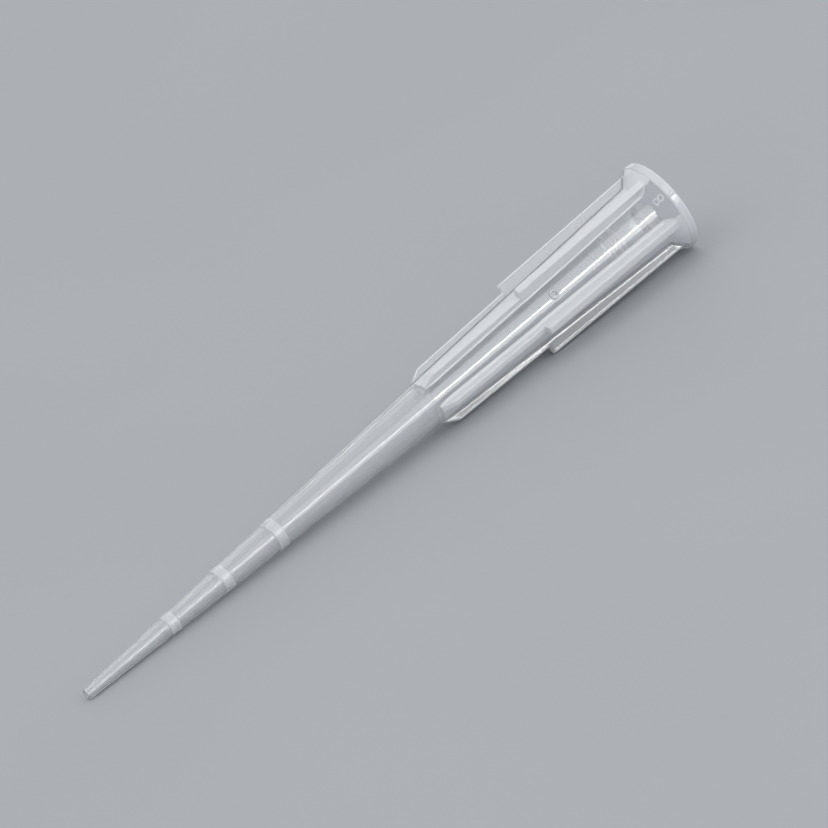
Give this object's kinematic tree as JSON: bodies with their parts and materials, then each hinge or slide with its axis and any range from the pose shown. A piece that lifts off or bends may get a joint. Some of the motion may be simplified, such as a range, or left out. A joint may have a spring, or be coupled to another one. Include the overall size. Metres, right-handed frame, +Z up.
{
  "type": "pipette tip",
  "caption": "Slim clear plastic pipette tip lying on its side: long tapered cone with graduation rings, stepped fins, flared collar and open mouth.",
  "frame": {"origin": "middle of the tip's length on the surface that it lies on, straight below its axis", "axes": "-X along the surface from the mouth to the orifice, +Z up from the surface; the tip's own axis slopes down towards the orifice by 3.38 degrees, and the front window between the two sets of fins faces -Y, 26.5 degrees above level"},
  "size_m": [0.0462, 0.006, 0.0061],
  "materials": {
    "clear_plastic": "translucent natural polypropylene, glossy, with frosted graduation rings"
  },
  "bodies": {
    "root": {"pipette_tip": "clear_plastic"}
  },
  "joints": []
}
